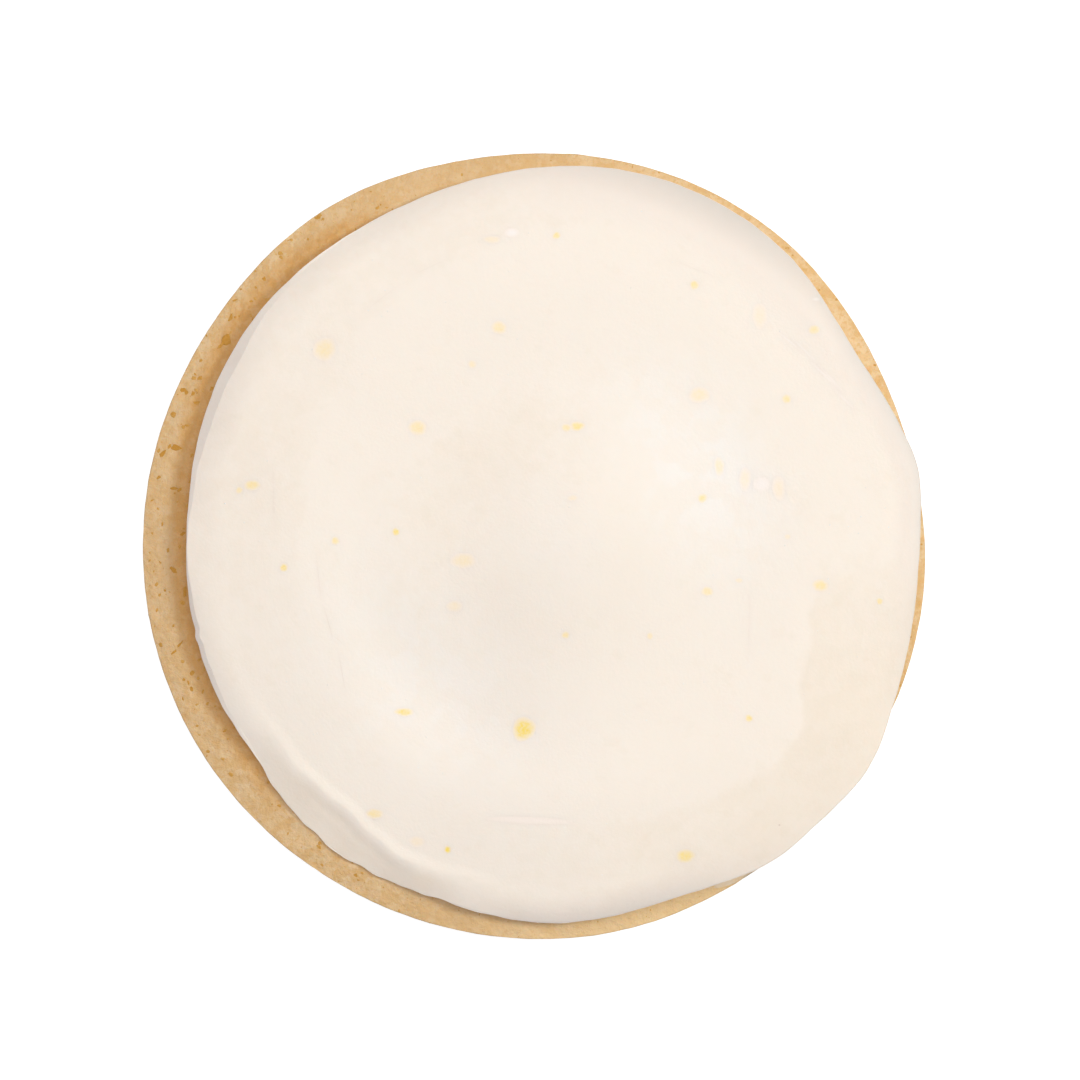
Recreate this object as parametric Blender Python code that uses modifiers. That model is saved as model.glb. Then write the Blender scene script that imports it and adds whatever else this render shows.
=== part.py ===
# Iced sugar cookie: a round cut biscuit with one spread layer of cream icing on it.
# Metres, +Z up. The origin is the centre of the biscuit's flat underside.
import math

import bmesh
import bpy

MM = 0.001
COLLECTION = "iced_sugar_cookie"
MERGE_DISTANCE = 0.001 * MM

# Biscuit
BISCUIT_RADIUS = 40.0 * MM
BISCUIT_THICKNESS = 7.8 * MM   # at the centre
BISCUIT_SAG = 0.7 * MM         # how much lower the top is at the rim than at the centre
SLOPE_RUN = 5.2 * MM           # how far from the rim the top starts to slope down
SLOPE_BLEND = 2.4 * MM         # over which the slope sets in
SLOPE = 0.28
SHOULDER_RUN = 0.06 * MM       # small rounding of the top edge, measured inwards
SHOULDER_DROP = 0.10 * MM      # and downwards
FOOT_ROUND = 1.2 * MM          # rounding of the bottom edge
SIDE_LEAN = 0.5 * MM           # the side leans in by this much at the foot
LEAN_POWER = 1.2
THICKNESS_WAVE = 0.02          # share of the height by which the rim rises and falls
THICKNESS_WAVE_SIDE = 120.0
BISCUIT_STEPS = 96
TOP_RADII = (0.0, 9.0 * MM, 18.0 * MM, 27.0 * MM, 34.8 * MM, 36.0 * MM, 37.2 * MM, 38.6 * MM)
SHOULDER_POINTS = 2
SIDE_POINTS = 3
FOOT_POINTS = 4

# Outline of the biscuit: mean reach, then direction and spread in degrees and reach past the mean
BISCUIT_REACH = 39.84 * MM
BISCUIT_LOBES = (
    (22.0, 17.0, -0.92 * MM),
    (75.5, 49.0, 0.64 * MM),
    (112.0, 31.5, -0.82 * MM),
    (122.0, 13.0, 0.79 * MM),
    (240.0, 12.0, -0.12 * MM),
    (281.0, 12.0, 0.20 * MM),
)

# Icing, measured about its own centre
ICING_CENTRE_X = 2.0 * MM
ICING_THICKNESS = 2.7 * MM
ICING_STEPS = 120
ICING_TOP_RINGS = 16
ICING_TOP_POWER = 1.6          # packs the rings towards the edge
ICING_UNDER_RINGS = 6
ICING_UNDER_POWER = 1.5
TOP_LEVEL = 1.0                # levels of the unit puck: its top, the foot of the chamfer, its underside
LEDGE_LEVEL = 0.5
UNDER_LEVEL = 0.0
LEVEL_TOLERANCE = 0.001
GAP = 0.3 * MM                 # clearance between the icing and the biscuit
LEAST_EDGE = 0.3 * MM          # the icing is at least this thick
LEDGE_DROP = 0.1 * MM          # the chamfer is at least this high
FALL_START = 26.0 * MM         # radius past which the top falls towards the edge
FALL_POWER = 1.8

# Outline of the icing, in the same form as the biscuit's
ICING_REACH = 37.38 * MM
ICING_LOBES = (
    (11.6, 3.8, 0.35 * MM),
    (18.0, 38.0, 0.11 * MM),
    (33.1, 10.0, -1.45 * MM),
    (76.6, 20.0, 1.25 * MM),
    (144.4, 15.0, 0.71 * MM),
    (175.5, 7.3, -0.27 * MM),
    (213.7, 4.1, -0.40 * MM),
    (234.6, 7.8, 0.55 * MM),
    (231.0, 8.0, 0.13 * MM),
    (243.0, 5.0, 0.12 * MM),
    (269.0, 9.9, 0.70 * MM),
    (270.0, 18.0, 0.09 * MM),
    (305.5, 7.3, 1.29 * MM),
    (323.6, 7.3, 1.43 * MM),
    (342.0, 8.0, 0.08 * MM),
    (355.0, 9.9, -0.66 * MM),
)

# Stations round the icing's edge: direction, share of the height that stands upright, run of the
# chamfer above it, share of the height at its crease, width and power of the rounding inside the
# crease, fall of the top
EDGE_STATIONS = (
    (0.0, 0.89, 0.04 * MM, 0.92, 1.8 * MM, 2.3, 0.0 * MM),
    (30.0, 0.89, 0.04 * MM, 0.92, 2.2 * MM, 2.2, 0.0 * MM),
    (65.0, 0.50, 0.04 * MM, 0.53, 4.2 * MM, 2.1, 0.2 * MM),
    (95.0, 0.74, 0.04 * MM, 0.77, 2.7 * MM, 2.5, 1.1 * MM),
    (118.0, 0.56, 0.06 * MM, 0.59, 3.5 * MM, 2.5, 1.0 * MM),
    (130.0, 0.58, 0.20 * MM, 0.68, 3.8 * MM, 2.4, 0.4 * MM),
    (140.0, 0.55, 0.65 * MM, 0.78, 3.7 * MM, 2.3, 0.3 * MM),
    (150.0, 0.44, 1.15 * MM, 0.80, 3.4 * MM, 2.2, 0.1 * MM),
    (160.0, 0.46, 1.0 * MM, 0.78, 3.0 * MM, 1.9, 0.1 * MM),
    (171.0, 0.70, 0.45 * MM, 0.85, 2.9 * MM, 2.0, 0.1 * MM),
    (180.0, 0.85, 0.04 * MM, 0.88, 4.5 * MM, 2.2, 0.0 * MM),
    (190.0, 0.70, 0.45 * MM, 0.87, 2.5 * MM, 2.3, 0.0 * MM),
    (200.0, 0.66, 0.55 * MM, 0.85, 2.5 * MM, 2.3, 0.0 * MM),
    (210.0, 0.68, 0.35 * MM, 0.80, 2.7 * MM, 2.3, 0.1 * MM),
    (219.0, 0.50, 0.05 * MM, 0.52, 3.0 * MM, 1.4, 0.2 * MM),
    (226.0, 0.30, 0.04 * MM, 0.32, 3.7 * MM, 1.2, 0.1 * MM),
    (232.0, 0.26, 0.04 * MM, 0.28, 4.1 * MM, 1.15, 0.1 * MM),
    (238.0, 0.30, 0.04 * MM, 0.32, 3.5 * MM, 1.2, 0.1 * MM),
    (244.0, 0.34, 0.04 * MM, 0.36, 2.7 * MM, 1.3, 0.1 * MM),
    (249.0, 0.54, 0.04 * MM, 0.57, 2.6 * MM, 1.6, 0.2 * MM),
    (256.0, 0.72, 0.04 * MM, 0.75, 3.0 * MM, 2.2, 0.2 * MM),
    (264.0, 0.66, 0.04 * MM, 0.69, 2.8 * MM, 2.5, 0.3 * MM),
    (280.0, 0.73, 0.04 * MM, 0.76, 3.2 * MM, 2.1, 0.1 * MM),
    (300.0, 0.79, 0.04 * MM, 0.82, 6.2 * MM, 2.3, 0.1 * MM),
    (320.0, 0.82, 0.04 * MM, 0.85, 6.3 * MM, 1.3, 0.0 * MM),
    (338.0, 0.80, 0.04 * MM, 0.83, 3.5 * MM, 2.0, 0.5 * MM),
)

# Swells and hollows of the icing's top
HUMP_CENTRE = (3.4 * MM, 2.6 * MM)
HUMP_RADIUS = 17.0 * MM
HUMP_HEIGHT = 1.1 * MM
RING_RADIUS = 26.5 * MM
RING_INNER = 8.5 * MM
RING_OUTER = 12.0 * MM
RING_HEIGHT = 0.50 * MM
RING_WEAK_SIDE = 55.0          # direction in which the ring fades
RING_FADE = 0.45
LOW_FROM = 3.0 * MM            # on one side the top sinks between these two radii
LOW_TO = 22.0 * MM
LOW_DEPTH = 1.6 * MM
LOW_DIRECTION = 233.0
LOW_SPREAD = 22.0
FOLD_HEIGHT = 0.12 * MM        # the soft ridge where the top turns down there
FOLD_INNER = 1.3 * MM
FOLD_OUTER = 3.4 * MM
FOLD_DIRECTION = 235.0
FOLD_HALF = 12.0
FOLD_SOFT = 24.0

BISCUIT_COLOUR = (0.64, 0.42, 0.21)
BISCUIT_ROUGHNESS = 0.85
ICING_COLOUR = (0.92, 0.84, 0.73)
ICING_ROUGHNESS = 0.5


def clamp(value):
    return max(0.0, min(1.0, value))


def smooth(value):
    value = clamp(value)
    return value * value * (3.0 - 2.0 * value)


def turn(angle, direction):
    """Degrees from direction to angle, between -180 and 180."""
    return (angle - direction + 180.0) % 360.0 - 180.0


def bell(offset, spread):
    return math.exp(-0.5 * (offset / spread) ** 2)


def bump(offset, inner, outer):
    """1 at offset 0, easing to 0 at inner before it and at outer past it."""
    width = inner if offset < 0.0 else outer
    return 1.0 - smooth(abs(offset) / width)


def lobed(reach, lobes, angle):
    """An outline's reach in one direction."""
    for direction, spread, size in lobes:
        reach += size * bell(turn(angle, direction), spread)
    return reach


def biscuit_reach(angle):
    return lobed(BISCUIT_REACH, BISCUIT_LOBES, angle)


def icing_reach(angle):
    return lobed(ICING_REACH, ICING_LOBES, angle)


def thickness_factor(share, angle):
    """How much the biscuit's height swells at this share of its radius."""
    return 1.0 + THICKNESS_WAVE * share * share * math.cos(math.radians(2.0 * (angle - THICKNESS_WAVE_SIDE)))


def section_top(radius):
    """Height of the biscuit's top along its turned section."""
    share = clamp(radius / BISCUIT_RADIUS)
    past = max(0.0, min(SLOPE_RUN, radius - BISCUIT_RADIUS + SLOPE_RUN))
    if past < SLOPE_BLEND:
        sloped = SLOPE * past * past / (2.0 * SLOPE_BLEND)
    else:
        sloped = SLOPE * (past - SLOPE_BLEND / 2.0)
    over = clamp(1.0 - (BISCUIT_RADIUS - radius) / SHOULDER_RUN)
    drop = SHOULDER_DROP * (1.0 - math.sqrt(1.0 - over * over))
    return BISCUIT_THICKNESS - BISCUIT_SAG * share ** 3 - sloped - drop


def biscuit_profile():
    """Points from the top's centre, out and down the side, and back to the underside's centre."""
    points = [(radius, section_top(radius)) for radius in TOP_RADII]
    inner = BISCUIT_RADIUS - SHOULDER_RUN
    for step in range(SHOULDER_POINTS + 1):
        turned = math.radians(90.0 * step / SHOULDER_POINTS)
        radius = inner + SHOULDER_RUN * math.sin(turned)
        points.append((radius, section_top(radius)))
    side_top = section_top(BISCUIT_RADIUS)
    for step in range(1, SIDE_POINTS):
        share = step / SIDE_POINTS
        height = side_top + (FOOT_ROUND - side_top) * share
        points.append((BISCUIT_RADIUS - SIDE_LEAN * share ** LEAN_POWER, height))
    foot = BISCUIT_RADIUS - SIDE_LEAN
    for step in range(FOOT_POINTS + 1):
        turned = math.radians(90.0 * step / FOOT_POINTS)
        radius = foot - FOOT_ROUND * (1.0 - math.cos(turned))
        points.append((radius, FOOT_ROUND * (1.0 - math.sin(turned))))
    points.append((0.0, 0.0))
    return points


def icing_profile():
    """A puck of unit radius, with one level each for its top, the chamfer's foot and the underside."""
    points = []
    for ring in range(ICING_TOP_RINGS + 1):
        share = ring / ICING_TOP_RINGS
        points.append((1.0 - (1.0 - share) ** ICING_TOP_POWER, TOP_LEVEL))
    points.append((1.0, LEDGE_LEVEL))
    points.append((1.0, UNDER_LEVEL))
    for ring in range(1, ICING_UNDER_RINGS + 1):
        points.append((1.0 - (ring / ICING_UNDER_RINGS) ** ICING_UNDER_POWER, UNDER_LEVEL))
    return points


def edge_station(angle):
    """The station values of the icing's edge in one direction, eased from each station to the next."""
    angle = angle % 360.0
    stations = EDGE_STATIONS + ((EDGE_STATIONS[0][0] + 360.0,) + EDGE_STATIONS[0][1:],)
    for before, after in zip(stations, stations[1:]):
        if before[0] <= angle <= after[0]:
            share = smooth((angle - before[0]) / (after[0] - before[0]))
            return [low + (high - low) * share for low, high in zip(before[1:], after[1:])]
    return list(stations[0][1:])


def biscuit_top(x, y):
    """Height of the biscuit's top, read GAP further in than a point given about the icing's centre."""
    across = x + ICING_CENTRE_X
    angle = math.degrees(math.atan2(y, across))
    nominal = math.hypot(across, y) * BISCUIT_RADIUS / biscuit_reach(angle)
    return section_top(max(0.0, nominal - GAP)) * thickness_factor(clamp(nominal / BISCUIT_RADIUS), angle)


def relief(x, y):
    """Swells and hollows of the icing's top, above or below its mean."""
    radius = math.hypot(x, y)
    angle = math.degrees(math.atan2(y, x))
    from_hump = math.hypot(x - HUMP_CENTRE[0], y - HUMP_CENTRE[1])
    height = HUMP_HEIGHT * (1.0 - smooth(from_hump / HUMP_RADIUS))
    strength = 1.0 - RING_FADE * (1.0 + math.cos(math.radians(turn(angle, RING_WEAK_SIDE))))
    height += RING_HEIGHT * strength * bump(radius - RING_RADIUS, RING_INNER, RING_OUTER)
    low = bell(turn(angle, LOW_DIRECTION), LOW_SPREAD)
    height -= LOW_DEPTH * low * smooth((radius - LOW_FROM) / (LOW_TO - LOW_FROM))
    fold = 1.0 - smooth((abs(turn(angle, FOLD_DIRECTION)) - FOLD_HALF) / FOLD_SOFT)
    from_crest = radius - icing_reach(angle) + edge_station(angle)[3]
    height += FOLD_HEIGHT * fold * bump(from_crest, FOLD_INNER, FOLD_OUTER)
    return height


def inner_top(x, y):
    """Height of the icing's top before it rounds down at the edge."""
    share = math.hypot(x + ICING_CENTRE_X, y) / BISCUIT_RADIUS
    return BISCUIT_THICKNESS - BISCUIT_SAG * share ** 3 + ICING_THICKNESS + relief(x, y)


def icing_top(x, y):
    """Height of the icing's top, which rounds down to a crease near the edge."""
    radius = math.hypot(x, y)
    angle = math.degrees(math.atan2(y, x))
    _, run, crease, rounding, power, fall = edge_station(angle)
    reach = icing_reach(angle)
    edge = math.radians(angle)
    foot = biscuit_top(reach * math.cos(edge), reach * math.sin(edge))
    past = clamp((radius - FALL_START) / (reach - FALL_START))
    inner = inner_top(x, y) - fall * past ** FALL_POWER
    shape = 1.0 - (1.0 - clamp((reach - run - radius) / rounding)) ** power
    height = foot + (inner - foot) * (crease + (1.0 - crease) * shape)
    return max(height, biscuit_top(x, y) + GAP + LEAST_EDGE)


def place_icing(share, level, angle):
    """Where a point of the unit puck goes."""
    reach = icing_reach(angle)
    upright, run = edge_station(angle)[:2]
    cosine, sine = math.cos(math.radians(angle)), math.sin(math.radians(angle))
    if level > TOP_LEVEL - LEVEL_TOLERANCE:
        radius = (reach - run) * share
        height = icing_top(radius * cosine, radius * sine)
    elif level < UNDER_LEVEL + LEVEL_TOLERANCE:
        radius = reach * share
        height = biscuit_top(radius * cosine, radius * sine) + GAP
    else:
        radius = reach
        brink = icing_top((reach - run) * cosine, (reach - run) * sine)
        foot = biscuit_top(reach * cosine, reach * sine)
        ledge = foot + (inner_top((reach - run) * cosine, (reach - run) * sine) - foot) * upright
        height = max(min(ledge, brink - LEDGE_DROP), foot + GAP + LEAST_EDGE - LEDGE_DROP)
    return radius * cosine + ICING_CENTRE_X, radius * sine, height


def uneven_biscuit(share, height, angle):
    """The turned biscuit, with the slight waves of a baked edge."""
    radius = share * biscuit_reach(angle)
    turned = math.radians(angle)
    return radius * math.cos(turned), radius * math.sin(turned), height * thickness_factor(share, angle)


def make_material(name, colour, roughness):
    material = bpy.data.materials.new(name)
    material.use_nodes = True
    shader = material.node_tree.nodes["Principled BSDF"]
    shader.inputs["Base Color"].default_value = (*colour, 1.0)
    shader.inputs["Roughness"].default_value = roughness
    shader.inputs["Metallic"].default_value = 0.0
    return material


def turned_mesh(name, profile, steps, collection):
    """The mesh of a profile turned once round Z by a Screw modifier."""
    mesh = bpy.data.meshes.new(name + "_profile")
    edges = [(i, i + 1) for i in range(len(profile) - 1)]
    mesh.from_pydata([(radius, 0.0, height) for radius, height in profile], edges, [])
    outline = bpy.data.objects.new(name + "_profile", mesh)
    collection.objects.link(outline)
    screw = outline.modifiers.new("Screw", "SCREW")
    screw.axis = "Z"
    screw.angle = math.radians(360.0)
    screw.steps = steps
    screw.render_steps = steps
    screw.use_merge_vertices = True
    screw.merge_threshold = MERGE_DISTANCE
    screw.use_smooth_shade = True
    evaluated = outline.evaluated_get(bpy.context.evaluated_depsgraph_get())
    turned = bpy.data.meshes.new_from_object(evaluated)
    turned.name = name
    bpy.data.objects.remove(outline)
    return turned


def close_mesh(mesh):
    """Joins what meets on the axis and turns every face outwards."""
    shell = bmesh.new()
    shell.from_mesh(mesh)
    bmesh.ops.remove_doubles(shell, verts=shell.verts, dist=MERGE_DISTANCE)
    bmesh.ops.recalc_face_normals(shell, faces=shell.faces)
    shell.to_mesh(mesh)
    shell.free()


def add_object(name, mesh, material, collection):
    mesh.materials.clear()
    mesh.materials.append(material)
    mesh.shade_smooth()
    piece = bpy.data.objects.new(name, mesh)
    collection.objects.link(piece)
    return piece


def make_biscuit(collection):
    mesh = turned_mesh("biscuit", biscuit_profile(), BISCUIT_STEPS, collection)
    for vertex in mesh.vertices:
        x, y, z = vertex.co
        share = math.hypot(x, y) / BISCUIT_RADIUS
        vertex.co = uneven_biscuit(share, z, math.degrees(math.atan2(y, x)))
    close_mesh(mesh)
    material = make_material("baked_biscuit", BISCUIT_COLOUR, BISCUIT_ROUGHNESS)
    return add_object("biscuit", mesh, material, collection)


def make_icing(collection):
    mesh = turned_mesh("icing", icing_profile(), ICING_STEPS, collection)
    for vertex in mesh.vertices:
        x, y, z = vertex.co
        vertex.co = place_icing(math.hypot(x, y), z, math.degrees(math.atan2(y, x)))
    close_mesh(mesh)
    material = make_material("cream_icing", ICING_COLOUR, ICING_ROUGHNESS)
    return add_object("icing", mesh, material, collection)


def main():
    for existing in list(bpy.data.objects):
        bpy.data.objects.remove(existing)
    collection = bpy.data.collections.new(COLLECTION)
    bpy.context.scene.collection.children.link(collection)
    make_biscuit(collection)
    make_icing(collection)


main()
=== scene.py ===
# Looks of the iced sugar cookie: the baked round, its icing, the flecks and grains in it
import math

import bpy
import numpy as np
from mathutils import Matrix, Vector, noise


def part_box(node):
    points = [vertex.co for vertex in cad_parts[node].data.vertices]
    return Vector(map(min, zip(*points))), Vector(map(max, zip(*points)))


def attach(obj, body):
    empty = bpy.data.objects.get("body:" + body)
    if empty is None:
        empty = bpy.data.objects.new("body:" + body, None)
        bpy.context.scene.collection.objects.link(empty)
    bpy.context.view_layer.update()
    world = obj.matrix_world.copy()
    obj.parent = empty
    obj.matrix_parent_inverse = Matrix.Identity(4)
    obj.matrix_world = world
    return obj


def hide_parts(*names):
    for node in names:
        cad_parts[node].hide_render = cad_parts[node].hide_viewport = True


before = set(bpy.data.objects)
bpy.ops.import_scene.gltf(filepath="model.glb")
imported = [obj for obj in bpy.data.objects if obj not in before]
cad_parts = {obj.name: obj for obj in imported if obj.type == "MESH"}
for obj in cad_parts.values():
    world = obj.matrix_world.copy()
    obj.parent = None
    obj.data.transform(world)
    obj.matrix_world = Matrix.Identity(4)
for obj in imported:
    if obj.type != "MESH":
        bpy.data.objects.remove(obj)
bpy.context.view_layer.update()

mm = 0.001
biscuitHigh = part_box("biscuit")[1]


def ease(value):
    value = np.clip(value, 0, 1)
    return value * value * (3 - 2 * value)


def turnFrom(angle, direction):  # degrees from direction to angle, -180 to 180
    return (angle - direction + 180) % 360 - 180


def polar(x, y):  # radius, and direction in degrees
    return np.hypot(x, y), np.degrees(np.arctan2(y, x))


def towards(angle):  # the unit step in a direction
    return np.cos(np.radians(angle)), np.sin(np.radians(angle))


def fullTurn(steps):
    return 2 * math.pi * np.arange(steps) / steps


def bell(offset, spread):
    return np.exp(-0.5 * (offset / spread) ** 2)


def swell(offset, inner, outer):  # 1 at offset 0, easing to 0 at inner before it and at outer past it
    return 1 - ease(np.abs(offset) / np.where(offset < 0, inner, outer))


def stretch(offset, half, soft):  # 1 within half of the middle, easing to 0 over soft
    return 1 - ease((np.abs(offset) - half) / soft)


def noiseAt(x, y, z, size, seed):  # smooth noise of about -1 to 1, the same each run
    shift = Vector((seed * 17.3, seed * 5.1, seed * 9.7))
    places = zip((x / size).ravel().tolist(), (y / size).ravel().tolist(), (z / size).ravel().tolist())
    return np.array([noise.noise(Vector(place) + shift) for place in places]).reshape(x.shape)


def shellPart(x, y, z, creases=()):
    # Rows run from the top's centre out and down to the underside's centre; the first and last are one point each.
    rows, steps = x.shape
    inside = np.stack([x[1:-1], y[1:-1], z[1:-1]], axis=-1).reshape(-1, 3)
    poles = [(x[0].mean(), y[0].mean(), z[0].mean()), (x[-1].mean(), y[-1].mean(), z[-1].mean())]
    ring = np.arange(steps)
    after = (ring + 1) % steps
    row = np.arange(rows - 3)[:, None] * steps
    quads = np.stack([row + ring, row + steps + ring, row + steps + after, row + after], axis=-1).reshape(-1, 4)
    top, bottom, last = len(inside), len(inside) + 1, (rows - 3) * steps
    caps = [(top, int(a), int(b)) for a, b in zip(ring, after)]
    caps += [(bottom, int(last + b), int(last + a)) for a, b in zip(ring, after)]
    sharp = [((crease - 1) * steps + int(a), (crease - 1) * steps + int(b))
             for crease in creases for a, b in zip(ring, after)]
    return np.vstack([inside, poles]), quads.tolist() + caps, sharp


def lensPart(place, middle, outline, form):  # a thin lens set in a surface; place gives points of that surface
    rings = np.array(form["rings"])[:, None]
    across, along = middle[0] + rings * outline[0], middle[1] + rings * outline[1]
    offset = form["lift"] * (1 - 1.5 * rings ** 4) + np.zeros_like(across)
    across, along = np.vstack([across, across[-2::-1]]), np.vstack([along, along[-2::-1]])
    offset = np.vstack([offset, np.full_like(offset[1:], -form["sunk"])])
    return shellPart(*place(across, along, offset))


def addObject(name, data):
    made = bpy.data.objects.new(name, data)
    bpy.context.scene.collection.objects.link(made)
    return made


def makePiece(name, parts, normals=None):  # joins shell parts into one mesh
    points, faces, sharp, start = [], [], set(), 0
    for own, ownFaces, ownSharp in parts:
        points.append(own)
        faces += [[corner + start for corner in face] for face in ownFaces]
        sharp |= {(min(a, b) + start, max(a, b) + start) for a, b in ownSharp}
        start += len(own)
    mesh = bpy.data.meshes.new(name)
    mesh.from_pydata(np.vstack(points).tolist(), [], faces)
    mesh.validate()
    mesh.shade_smooth()
    if sharp:
        for edge in mesh.edges:
            a, b = edge.vertices
            if (min(a, b), max(a, b)) in sharp:
                edge.use_edge_sharp = True
    if normals is not None:
        mesh.normals_split_custom_set_from_vertices(normals.tolist())
    return addObject(name, mesh)


def rowValues(values):  # one number a vertex, in the order of shellPart's points
    return np.concatenate([values[1:-1].ravel(), [values[0].mean(), values[-1].mean()]])


def keepValue(piece, name, values):  # stores one number a vertex, for the material
    layer = piece.data.attributes.new(name, "FLOAT", "POINT")
    layer.data.foreach_set("value", values.astype(np.float32))


biscuit = {
    "radius": 40 * mm,
    "reach": 39.84 * mm,
    # direction and spread in degrees, reach past the mean in mm
    "lobes": (
        (22, 17, -0.92), (75.5, 49, 0.64), (112, 31.5, -0.82), (122, 13, 0.79), (240, 12, -0.12), (281, 12, 0.2),
    ),
    "thickness": biscuitHigh.z,
    "sag": 0.7 * mm,  # how much lower the top is at the rim
    "slopeRun": 5.2 * mm,  # how far from the rim the top starts to slope down
    "slopeBlend": 2.4 * mm,
    "slope": 0.28,
    "shoulderRun": 0.06 * mm,
    "shoulderDrop": 0.1 * mm,
    "footRound": 1.2 * mm,
    "sideLean": 0.5 * mm,
    "thicknessWave": 0.02,
    "steps": 1080,
    "leftDensity": 0.045,  # packs more steps into the bare side
    "hiddenRings": (0, 12 * mm, 24 * mm, 31 * mm, 33.8 * mm),
    "fineStart": 34.5 * mm,
    "fineStep": 0.14 * mm,
    "sideStep": 0.28 * mm,
    "underRings": 14,
    # size and height of the unevenness in the crumb
    "swells": ((7 * mm, 0.09 * mm), (2.2 * mm, 0.1 * mm), (0.8 * mm, 0.05 * mm)),
    "sideSwell": 0.35,  # share of the unevenness left on the upright side
    # painted shadow: the crumb beside the icing on the left is darker and richer, deepening the icing's cast shadow
    "shadowHalf": 0.7 * mm,  # how far from the icing the painted shadow is darkest, and how far it eases back
    "shadowSoft": 1.7 * mm,
    "shadowSide": 170,
    "shadowWide": (148, 20, 0.45 * mm),  # direction and spread where it reaches further, and how much
    # the crumb is painted lighter around this side, a painted light on the lower rim
    "lowSide": 286,
    "bakedHeight": 2.2 * mm,  # how far up the side the browner foot reaches
    # direction and spread in degrees, strength of the painted shade: stretches of the top painted darker where light
    # falls weaker
    "rimShade": ((101, 20, 0.5), (256, 7, 0.5), (186, 26, 0.45)),
    "seed": 4,
}


def lobed(form, angle):
    reach = np.full_like(angle, form["reach"])
    for direction, spread, size in form["lobes"]:
        reach += size * mm * bell(turnFrom(angle, direction), spread)
    return reach


def thicknessFactor(share, angle):
    return 1 + biscuit["thicknessWave"] * share ** 2 * np.cos(np.radians(2 * (angle - 120)))


def sectionTop(radius):  # height of the turned section's top
    share = np.clip(radius / biscuit["radius"], 0, 1)
    past = np.clip(radius - biscuit["radius"] + biscuit["slopeRun"], 0, biscuit["slopeRun"])
    blend = biscuit["slopeBlend"]
    sloped = biscuit["slope"] * np.where(past < blend, past * past / (2 * blend), past - blend / 2)
    over = np.clip(1 - (biscuit["radius"] - radius) / biscuit["shoulderRun"], 0, 1)
    drop = biscuit["shoulderDrop"] * (1 - np.sqrt(1 - over * over))
    return biscuit["thickness"] - biscuit["sag"] * share ** 3 - sloped - drop


def biscuitTopAt(x, y):  # height of the biscuit's top at a place
    radius, angle = polar(x, y)
    nominal = radius * biscuit["radius"] / lobed(biscuit, angle)
    return sectionTop(nominal) * thicknessFactor(np.clip(nominal / biscuit["radius"], 0, 1), angle)


def biscuitSection():  # radius and height of each row, top centre to underside centre
    run, drop, foot = biscuit["shoulderRun"], biscuit["shoulderDrop"], biscuit["footRound"]
    inner, outer = biscuit["radius"] - run, biscuit["radius"] - biscuit["sideLean"]
    arcLength = math.pi / 2 * math.sqrt((run ** 2 + drop ** 2) / 2)
    turned = np.linspace(0, math.pi / 2, int(arcLength / biscuit["fineStep"]) + 3)
    top = np.concatenate([biscuit["hiddenRings"], np.arange(biscuit["fineStart"], inner, biscuit["fineStep"]),
                          inner + run * np.sin(turned)])
    height = sectionTop(top)
    count = int((height[-1] - foot) / biscuit["sideStep"])
    share = np.arange(1, count) / count
    side = outer + biscuit["sideLean"] * (1 - share ** 1.2), height[-1] + (foot - height[-1]) * share
    turned = np.linspace(0, math.pi / 2, int(math.pi / 2 * foot / biscuit["sideStep"]) + 1)
    rounding = outer - foot * (1 - np.cos(turned)), foot * (1 - np.sin(turned))
    under = (outer - foot) * np.linspace(1, 0, biscuit["underRings"] + 1)[1:]
    return np.hstack([(top, height), side, rounding, (under, 0 * under)]).T


def crumbHeight(x, y, z):  # unevenness of the crumb along its normal
    return sum(reach * noiseAt(x, y, z, size, number + 1) for number, (size, reach) in enumerate(biscuit["swells"]))


def followSection():  # arc length, radius, height and the normal's two parts for each row of the section
    rows = biscuitSection()
    slope = np.gradient(rows, axis=0)
    slope /= np.maximum(np.hypot(slope[:, 0], slope[:, 1]), 1e-12)[:, None]
    arc = np.concatenate([[0], np.cumsum(np.hypot(*np.diff(rows, axis=0).T))])
    return arc, rows[:, 0], rows[:, 1], -slope[:, 1], slope[:, 0]


section = followSection()
sectionShown = (section[1] > 34 * mm) & (section[2] > 0.001 * mm)


def crumbPoint(angle, arc, offset):  # a point of the baked surface, moved off it by offset
    radius, height, outward, upward = [np.interp(arc, section[0], values) for values in section[1:]]
    share = radius / biscuit["radius"]
    radius = share * lobed(biscuit, angle)
    height = height * thicknessFactor(share, angle)
    cosine, sine = towards(angle)
    x, y = radius * cosine, radius * sine
    shown = np.interp(arc, section[0], sectionShown.astype(float))
    even = biscuit["sideSwell"] + (1 - biscuit["sideSwell"]) * upward
    lift = (crumbHeight(x, y, height) * shown - dentAt(angle, arc)) * even + offset
    return x + outward * lift * cosine, y + outward * lift * sine, np.maximum(height + upward * lift, 0)


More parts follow.
